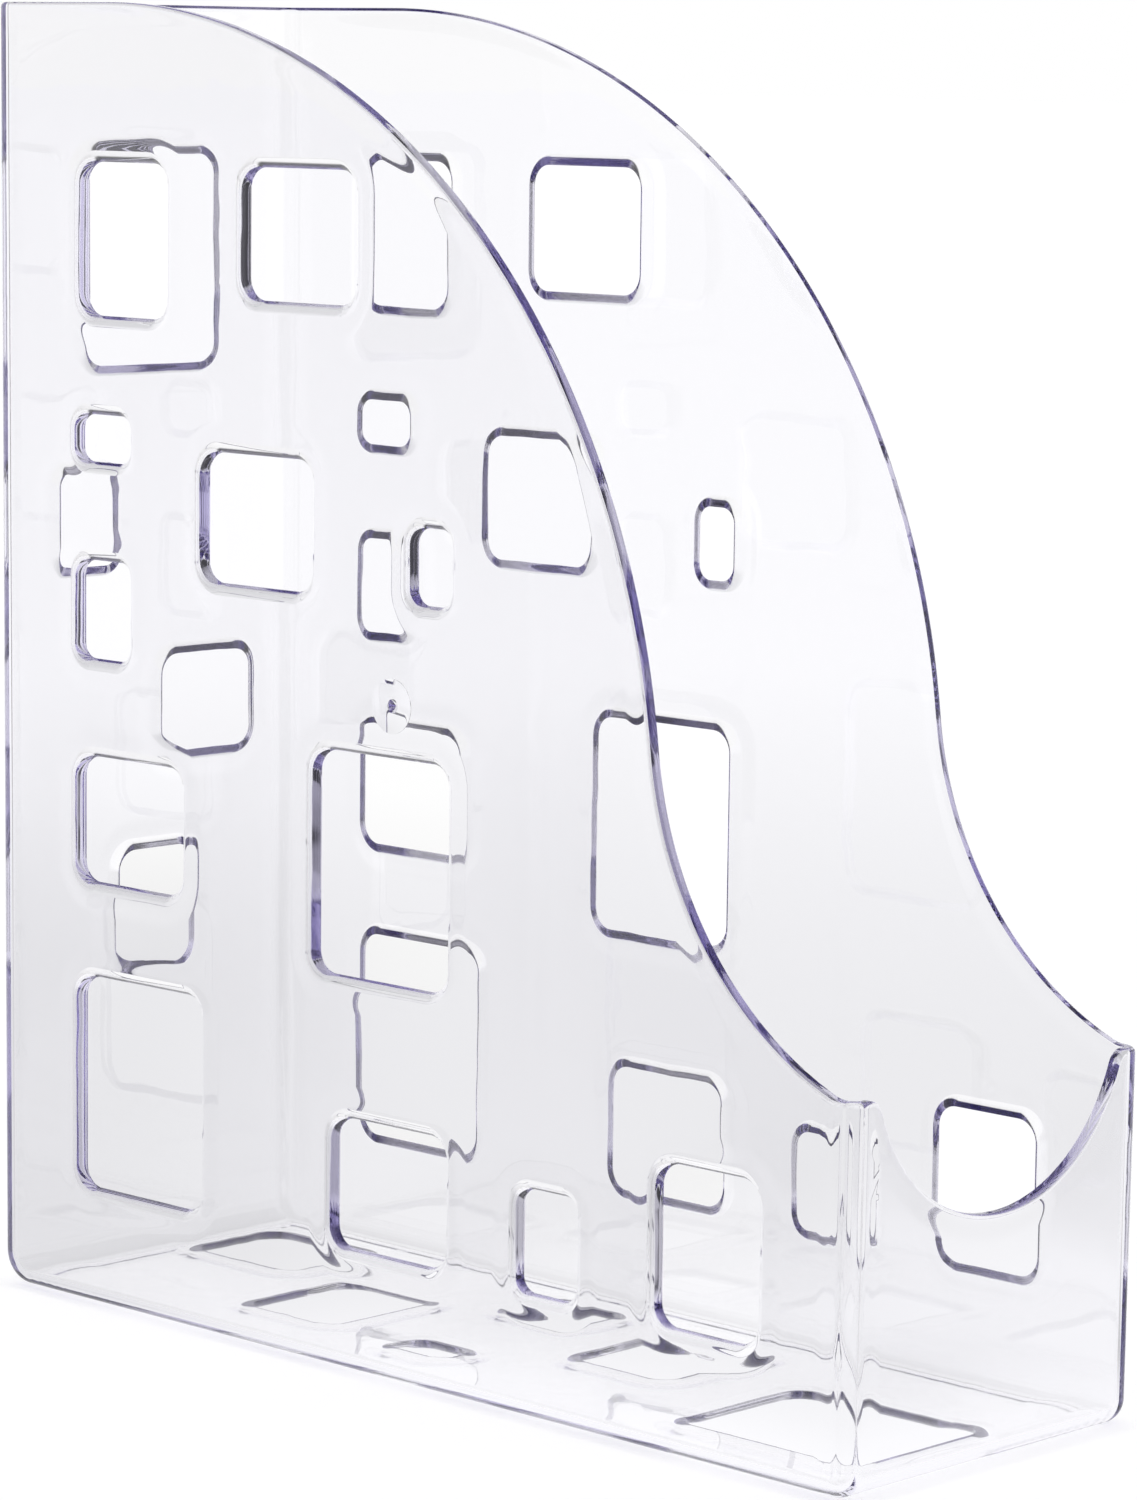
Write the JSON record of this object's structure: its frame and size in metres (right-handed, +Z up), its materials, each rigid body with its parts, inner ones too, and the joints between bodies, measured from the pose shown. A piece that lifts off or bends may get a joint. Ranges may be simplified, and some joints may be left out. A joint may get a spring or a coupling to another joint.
{
  "type": "magazine rack",
  "caption": "Clear open-topped magazine rack with a high back, swept side walls, a low front with a finger notch, and rounded rectangular windows.",
  "frame": {"origin": "centre of the footprint at the underside of the base", "axes": "+Z up, +X across the width towards the right side wall as seen from the low front, +Y towards the high back wall, so the low front with the finger notch faces -Y"},
  "size_m": [0.093, 0.268, 0.3],
  "materials": {
    "clear_polystyrene": "moulded crystal polystyrene, clear with a faint violet tone, polished on all faces"
  },
  "bodies": {
    "root": {"left_side_wall": "clear_polystyrene", "right_side_wall": "clear_polystyrene", "front_wall": "clear_polystyrene", "base": "clear_polystyrene", "back_wall": "clear_polystyrene"}
  },
  "joints": []
}
